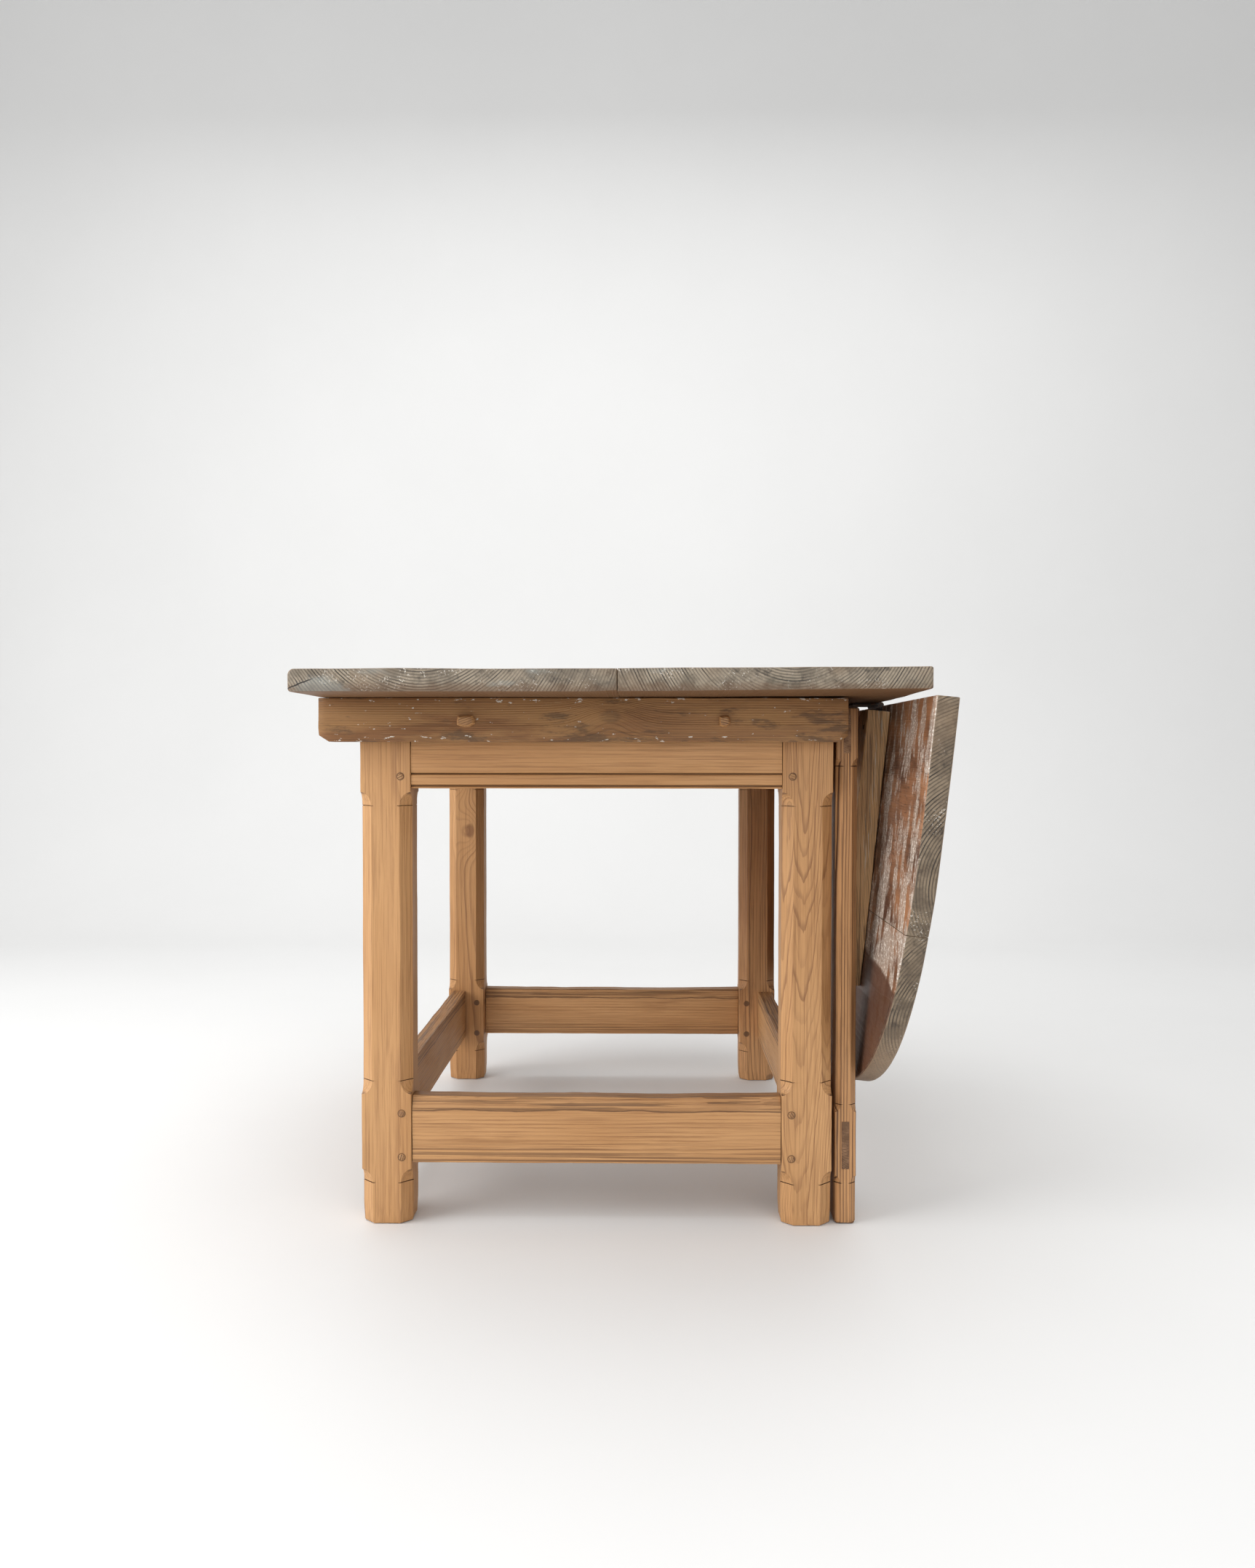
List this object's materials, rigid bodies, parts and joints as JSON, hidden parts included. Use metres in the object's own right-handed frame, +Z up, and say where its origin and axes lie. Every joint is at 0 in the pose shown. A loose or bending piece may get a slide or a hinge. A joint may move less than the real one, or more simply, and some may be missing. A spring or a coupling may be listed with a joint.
{
  "type": "drop leaf table",
  "caption": "Farmhouse gateleg table: pegged frame with stretchers, plank top on battens, hinged leaf with rounded ends hanging at the side, and a folded gate that swings out to carry it.",
  "frame": {"origin": "on the floor, in the middle of the table's own box with the leaf hanging", "axes": "+X towards the leaf, +Y along the boards from front to rear, +Z up"},
  "size_m": [0.8263, 1.248, 0.762],
  "materials": {
    "leg_pine": "waxed, worn",
    "rail_pine": "waxed, worn",
    "top_pine": "scrubbed, weathered grey",
    "batten_pine": "waxed, worn",
    "leaf_pine": "old paint worn to bare wood",
    "leaf_batten_pine": "dry, worn",
    "gate_pine": "waxed, worn",
    "peg_wood": "whittled",
    "old_iron": "forged, dull"
  },
  "bodies": {
    "frame": {"apron_front": "rail_pine", "apron_left": "rail_pine", "apron_rear": "rail_pine", "apron_right": "rail_pine", "gate_hinge_frame_screws": "old_iron", "gate_hinge_lower_frame_flap": "old_iron", "gate_hinge_pins": "old_iron", "gate_hinge_upper_frame_flap": "old_iron", "joint_pegs_front": "peg_wood", "joint_pegs_left": "peg_wood", "joint_pegs_rear": "peg_wood", "joint_pegs_right": "peg_wood", "leaf_hinge_front_top_flap": "old_iron", "leaf_hinge_middle_top_flap": "old_iron", "leaf_hinge_pins": "old_iron", "leaf_hinge_rear_top_flap": "old_iron", "leaf_hinge_top_screws": "old_iron", "leg_front_left": "leg_pine", "leg_front_right": "leg_pine", "leg_rear_left": "leg_pine", "leg_rear_right": "leg_pine", "stretcher_front": "rail_pine", "stretcher_left": "rail_pine", "stretcher_rear": "rail_pine", "stretcher_right": "rail_pine", "top_batten_front": "batten_pine", "top_batten_nails": "old_iron", "top_batten_rear": "batten_pine", "top_board_1": "top_pine", "top_board_2": "top_pine", "treenail_front_left": "peg_wood", "treenail_front_right": "peg_wood", "treenail_rear_left": "peg_wood", "treenail_rear_right": "peg_wood"},
    "leaf": {"leaf_batten_front": "leaf_batten_pine", "leaf_batten_nails": "old_iron", "leaf_batten_rear": "leaf_batten_pine", "leaf_board_1": "leaf_pine", "leaf_board_2": "leaf_pine", "leaf_hinge_front_leaf_flap": "old_iron", "leaf_hinge_leaf_screws": "old_iron", "leaf_hinge_middle_leaf_flap": "old_iron", "leaf_hinge_rear_leaf_flap": "old_iron"},
    "gate": {"gate_hinge_gate_screws": "old_iron", "gate_hinge_lower_gate_flap": "old_iron", "gate_hinge_upper_gate_flap": "old_iron", "gate_leg": "gate_pine", "gate_low_rail": "gate_pine", "gate_pegs": "peg_wood", "gate_stile": "gate_pine", "gate_top_rail": "gate_pine"}
  },
  "joints": [
    {"name": "leaf_hinge", "type": "hinge", "parent": "frame", "child": "leaf", "pos_m": [0.38084, 0, 0.7275], "axis": [0, -1, 0], "range_deg": [0, 95.99]},
    {"name": "gate_swing", "type": "hinge", "parent": "frame", "child": "gate", "pos_m": [0.28859, 0.0505, 0.4], "axis": [0, 0, 1], "range_deg": [0, 90]}
  ],
  "couplings": [
    {"joint": "gate_swing", "follows": "leaf_hinge", "ratio": 0.1}
  ]
}
